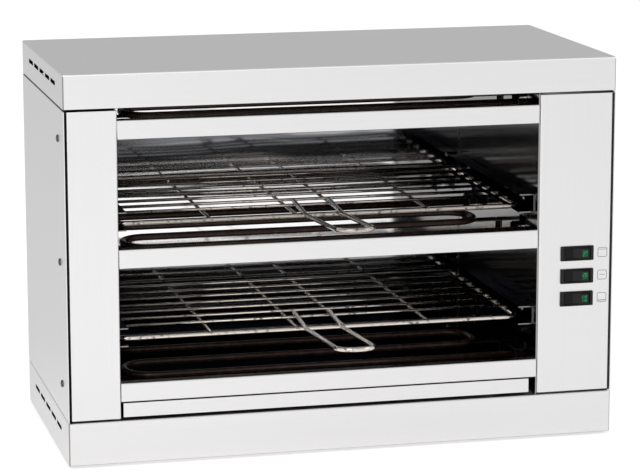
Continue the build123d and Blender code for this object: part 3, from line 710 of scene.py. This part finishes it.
class TOASTER_OT_finish_switches(bpy.types.Operator):
    """Give the switches, gland, terminal block and feet their mouldings"""
    bl_idname = "toaster.finish_switches"
    bl_label = "Switches and mouldings"

    def moulding(self, name, color, roughness, bump, gloss=0.5):
        """A moulded plastic or rubber with a fine texture."""
        material, tree, shader = plain_material(name, color, 0.0, roughness)
        shader.inputs["Specular IOR Level"].default_value = gloss
        specks = specked(tree, color, toned(color, 1.25, 0.002), 1800.0, 0.42)
        bumped(tree, specks, bump, 0.00005)
        return material

    def execute(self, context):
        gland = self.moulding("Gland moulding", (0.012, 0.012, 0.013), 0.45, 0.25)
        rubber = self.moulding("Foot rubber", (0.02, 0.02, 0.02), 0.75, 0.5)
        block = self.moulding("Terminal block", (0.72, 0.70, 0.62), 0.5, 0.2)

        # The housing is painted near black as shade in the hollow round its rocker
        housing = self.moulding("Switch housing", (0.012, 0.012, 0.013), 0.45, 0.25, gloss=0.2)
        low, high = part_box("middle_rocker")
        tree = housing.node_tree
        middle, half_width = (low.x + high.x) / 2, (high.x - low.x) / 2
        off_centre = maths(tree, "ABSOLUTE", maths(tree, "SUBTRACT", axis_of(tree, "X"), middle))
        recolored(tree, step(tree, off_centre, half_width + 0.0009, -1.5 * BLUR), (0.002, 0.002, 0.002))

        # The rocker's left part is pressed in, and the shade it lies in is painted on it near black
        rocker = self.moulding("Rocker", (0.010, 0.010, 0.011), 0.26, 0.08, gloss=0.2)
        tree = rocker.node_tree
        recolored(tree, step(tree, axis_of(tree, "X"), low.x + 0.0092, -0.001), (0.0008, 0.0008, 0.0008))

        # The lens has moulded prisms; the light they catch is painted on cell by cell, as a lighter
        # colour and a faint glow
        color = context.scene.toaster_panel.lens_color[:]
        lens, tree, shader = plain_material("Green lens", color, 0.0, 0.2)
        prisms = tree.nodes.new("ShaderNodeTexVoronoi")
        prisms.inputs["Scale"].default_value = 520.0
        tree.links.new(object_place(tree), prisms.inputs["Vector"])
        painted_glints = ramp(tree, prisms.outputs["Distance"], 0.55, 0.15)
        tone = mixed(tree, painted_glints, toned(color, 0.25), (*color, 1))
        tree.links.new(tone, shader.inputs["Base Color"])
        tree.links.new(tone, shader.inputs["Emission Color"])
        shader.inputs["Emission Strength"].default_value = 0.35
        shader.inputs["Specular IOR Level"].default_value = 0.25
        bumped(tree, prisms.outputs["Distance"], 0.4, 0.0003)
        for level in ("lower", "middle", "upper"):
            finish_nodes((f"{level}_switch_housing",), housing)
            finish_nodes((f"{level}_rocker",), rocker)
            finish_nodes((f"{level}_lens",), lens)
        finish_nodes(("cable_gland",), gland)
        finish_nodes(("rubber_feet",), rubber)
        finish_nodes(("terminal_block",), block)
        return {"FINISHED"}


class TOASTER_OT_add_zone_marks(bpy.types.Operator):
    """Print a small mark for each heat zone beside its switch"""
    bl_idname = "toaster.add_zone_marks"
    bl_label = "Heat-zone marks"

    def slab(self, context, place, size):
        """A box of a given size, which becomes the active piece."""
        clear_selection()
        bpy.ops.mesh.primitive_cube_add(size=1, location=place)
        context.object.scale = size
        bpy.ops.object.transform_apply(location=True, rotation=False, scale=True)
        return context.object

    def execute(self, context):
        settings = context.scene.toaster_panel
        size, line = settings.mark_size, settings.mark_line
        thickness, corner_share, edge_gap = 0.00012, 0.16, 0.0092
        ink, tree, _ = plain_material("Panel print", settings.mark_color[:], 0.0, 0.6)
        specked(tree, settings.mark_color, grey(0.26), 2500.0, 0.5)
        panel_low, panel_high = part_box("control_panel")

        # A rounded frame and, at the height of its zone, a bar; the bar's height and width are shares
        # of the mark's size, and its weight is a share of the frame's line
        for level, height, width, weight in (("lower", -0.30, 0.84, 1.5), ("middle", 0.0, 0.55, 0.9),
                                             ("upper", 0.30, 0.84, 0.9)):
            low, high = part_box(f"{level}_switch_housing")
            mark = self.slab(context, (0, 0, 0), (size, thickness, size))
            points = [point.co.copy() for point in mark.data.vertices]
            pick(mark, "EDGE", "edges", lambda edge: abs(
                points[edge.vertices[0]].y - points[edge.vertices[1]].y) > thickness / 2)
            bpy.ops.mesh.bevel(offset=size * corner_share, segments=4, affect="EDGES")
            bpy.ops.object.mode_set(mode="OBJECT")
            pick(mark, "FACE", "polygons", lambda face: abs(face.normal.y) > 0.9)
            bpy.ops.mesh.inset(thickness=line, depth=0)
            bpy.ops.mesh.bridge_edge_loops()
            bpy.ops.object.mode_set(mode="OBJECT")
            bar = self.slab(context, (0, 0, height * size), (size * width, thickness, line * weight))
            mark = joined([mark, bar])
            mark.location = (panel_high.x - edge_gap, panel_low.y - thickness / 2, (low.z + high.z) / 2)
            settle(mark, f"{level}_zone_mark", "casing", ink)
        return {"FINISHED"}


class TOASTER_OT_finish_screws(bpy.types.Operator):
    """Replace the screws with domed ones that have a cross sunk into each head"""
    bl_idname = "toaster.finish_screws"
    bl_label = "Screws"

    def driven_screw(self, context, settings):
        """One upright screw: a domed head on z 0 with a cross recess, and its shank below."""
        radius, height = settings.head_radius, settings.head_height
        clear_selection()
        bpy.ops.mesh.primitive_cylinder_add(vertices=28, radius=radius, depth=height,
                                            location=(0, 0, height / 2))
        screw = context.object
        bpy.ops.object.transform_apply(location=True, rotation=False, scale=False)
        pick(screw, "FACE", "polygons", lambda face: face.normal.z > 0.9)
        bpy.ops.mesh.bevel(offset=height * 0.8, segments=5, affect="EDGES")
        bpy.ops.object.mode_set(mode="OBJECT")
        pick(screw, "FACE", "polygons", lambda face: face.normal.z < -0.9)
        bpy.ops.mesh.inset(thickness=radius - settings.shank_radius, depth=0)
        shank = (0, 0, -settings.shank_length)
        bpy.ops.mesh.extrude_region_move(TRANSFORM_OT_translate={"value": shank})
        bpy.ops.object.mode_set(mode="OBJECT")
        for turn in (0, math.pi / 2):
            clear_selection()
            bpy.ops.mesh.primitive_cube_add(size=1, location=(0, 0, height), rotation=(0, 0, turn))
            cutter = context.object
            cutter.scale = (radius * 1.15, settings.cross_width, height * 1.3)
            bpy.ops.object.transform_apply(location=True, rotation=True, scale=True)
            cut = screw.modifiers.new("Cross", "BOOLEAN")
            cut.object = cutter
            cut.operation = "DIFFERENCE"
            cut.solver = "EXACT"
            select_only(screw)
            bpy.ops.object.modifier_apply(modifier=cut.name)
            bpy.data.objects.remove(cutter)
        bpy.ops.object.shade_smooth_by_angle(angle=math.radians(35))
        return screw

    def execute(self, context):
        settings = context.scene.toaster_screws
        even, spin_step = (400.0, 400.0, 400.0), 0.65
        plated = steel("Plated screw", settings.screw_color[:], 0.22, even)
        # The side panels' screws are painted dark as the shade and dark reflections they show
        shaded_screw = steel("Blackened screw", settings.side_screw_color[:], 0.3, even)
        screw = self.driven_screw(context, settings)
        for node in ("side_screws", "rear_screws", "rail_screws", "flange_screws", "foot_screws"):
            copies = []
            for place, normal in screw_seats(node):
                turn = normal.to_track_quat("Z", "Y").to_matrix().to_4x4()
                spin = Matrix.Rotation(spin_step * len(copies), 4, "Z")
                copies.append(copied(screw, place, turn @ spin))
            finish = shaded_screw if node == "side_screws" else plated
            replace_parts(settle(joined(copies), f"{node}_driven", "casing", finish), node)
        bpy.data.objects.remove(screw)
        return {"FINISHED"}


class TOASTER_OT_set_stage(bpy.types.Operator):
    """Set the floor, lamps, surroundings and camera"""
    bl_idname = "toaster.set_stage"
    bl_label = "Studio"

    def add_floor(self, glow):
        """A pale floor that adds light for the camera and for mirrors, less behind, right and far off."""
        clear_selection()
        bpy.ops.mesh.primitive_plane_add(size=14, location=(0, 0, -0.0001))
        floor = bpy.context.object
        bpy.ops.object.mode_set(mode="EDIT")
        bpy.ops.mesh.select_all(action="SELECT")
        bpy.ops.mesh.subdivide(number_cuts=3)
        bpy.ops.object.mode_set(mode="OBJECT")
        floor.name = "floor"
        pale, tree, shader = plain_material("Pale floor", (0.93, 0.93, 0.93), 0.0, 1.0)
        shader.inputs["Specular IOR Level"].default_value = 0.0
        shader.inputs["Emission Color"].default_value = grey(1)
        rays = tree.nodes.new("ShaderNodeLightPath").outputs
        behind = product(tree, ramp(tree, axis_of(tree, "Y"), -0.3, 0.5), 0.6)
        right = product(tree, ramp(tree, axis_of(tree, "X"), -0.1, 0.5), 0.3)
        far = product(tree, ramp(tree, axis_of(tree, "Y"), -0.3, -1.9), 0.12)
        dimmed = maths(tree, "ADD", behind, maths(tree, "ADD", right, far), clamp=True)
        mirrored = product(tree, rays["Is Glossy Ray"], maths(tree, "SUBTRACT", 1.0, dimmed))
        seen = maths(tree, "ADD", mirrored, product(tree, rays["Is Camera Ray"], 1.15))
        seen = maths(tree, "ADD", seen, rays["Is Transmission Ray"])
        tree.links.new(product(tree, seen, glow), shader.inputs["Emission Strength"])
        floor.data.materials.append(pale)

    def add_world(self, scene, strength):
        """Surroundings: white to the camera, and otherwise pale in front, darker behind and above."""
        front, rear, top = grey(0.96), grey(0.58), grey(0.45)
        world = bpy.data.worlds.new("Studio")
        scene.world = world
        world.use_nodes = True
        tree = world.node_tree
        sky = tree.nodes["Background"]
        place = tree.nodes.new("ShaderNodeTexCoord")
        split = tree.nodes.new("ShaderNodeSeparateXYZ")
        tree.links.new(place.outputs["Generated"], split.inputs[0])
        level = mixed(tree, ramp(tree, split.outputs["Y"], -0.5, 0.6), front, rear)
        height = ramp(tree, split.outputs["Z"], 0.1, 0.9)
        tree.links.new(mixed(tree, height, level, top), sky.inputs["Color"])
        sky.inputs["Strength"].default_value = strength
        white = tree.nodes.new("ShaderNodeBackground")
        white.inputs["Color"].default_value = grey(1)
        white.inputs["Strength"].default_value = 1.0
        rays = tree.nodes.new("ShaderNodeLightPath")
        chosen = tree.nodes.new("ShaderNodeMixShader")
        tree.links.new(rays.outputs["Is Camera Ray"], chosen.inputs[0])
        tree.links.new(sky.outputs[0], chosen.inputs[1])
        tree.links.new(white.outputs[0], chosen.inputs[2])
        tree.links.new(chosen.outputs[0], tree.nodes["World Output"].inputs[0])

    def execute(self, context):
        settings = context.scene.toaster_stage
        self.add_floor(settings.floor_glow)
        self.add_world(context.scene, settings.world_strength)
        for name, place, size, power in (
            ("softbox_front", (-1.2, -2.4, 1.9), 2.2, settings.softbox_power),
            ("softbox_right", (2.2, -1.2, 1.6), 1.6, settings.softbox_power * 0.4),
        ):
            lamp = bpy.data.lights.new(name, "AREA")
            lamp.size = size
            lamp.energy = power
            holder = bpy.data.objects.new(name, lamp)
            holder.location = place
            holder.rotation_mode = "QUATERNION"
            holder.rotation_quaternion = (LAMP_AIM - Vector(place)).to_track_quat("-Z", "Y")
            context.collection.objects.link(holder)

        view = bpy.data.cameras.new("camera")
        view.sensor_width = SENSOR_WIDTH
        view.lens = LENS_LENGTH
        view.shift_x, view.shift_y = LENS_SHIFT
        view.clip_start = 0.1
        view.clip_end = 40
        camera = bpy.data.objects.new("camera", view)
        camera.location = CAMERA_PLACE
        camera.rotation_euler = [math.radians(angle) for angle in CAMERA_TURN]
        context.collection.objects.link(camera)
        context.scene.camera = camera
        context.scene.view_settings.view_transform = "Standard"
        return {"FINISHED"}


class TOASTER_PT_tools(bpy.types.Panel):
    bl_label = "Toaster"
    bl_idname = "TOASTER_PT_tools"
    bl_space_type = "VIEW_3D"
    bl_region_type = "UI"
    bl_category = "Toaster"

    def draw(self, context):
        for group in SETTINGS:
            settings = getattr(context.scene, group)
            box = self.layout.box()
            for name in settings.__annotations__:
                box.prop(settings, name)
        for tool in STEPS:
            self.layout.operator(tool.bl_idname)


STEPS = (
    TOASTER_OT_finish_casing,
    TOASTER_OT_finish_interior,
    TOASTER_OT_finish_racks,
    TOASTER_OT_add_welds,
    TOASTER_OT_finish_elements,
    TOASTER_OT_finish_switches,
    TOASTER_OT_add_zone_marks,
    TOASTER_OT_finish_screws,
    TOASTER_OT_set_stage,
)
SETTINGS = {
    "toaster_steel": SteelSettings,
    "toaster_wire": WireSettings,
    "toaster_panel": PanelSettings,
    "toaster_screws": ScrewSettings,
    "toaster_stage": StageSettings,
}


def register():
    for name, group in SETTINGS.items():
        bpy.utils.register_class(group)
        setattr(bpy.types.Scene, name, PointerProperty(type=group))
    for tool in (*STEPS, TOASTER_PT_tools):
        bpy.utils.register_class(tool)


def unregister():
    for tool in (TOASTER_PT_tools, *reversed(STEPS)):
        bpy.utils.unregister_class(tool)
    for name, group in SETTINGS.items():
        delattr(bpy.types.Scene, name)
        bpy.utils.unregister_class(group)


def main():
    register()
    bpy.ops.toaster.finish_casing()
    bpy.ops.toaster.finish_interior()
    bpy.ops.toaster.finish_racks()
    bpy.ops.toaster.add_welds()
    bpy.ops.toaster.finish_elements()
    bpy.ops.toaster.finish_switches()
    bpy.ops.toaster.add_zone_marks()
    bpy.ops.toaster.finish_screws()
    bpy.ops.toaster.set_stage()


if __name__ == "__main__":
    main()
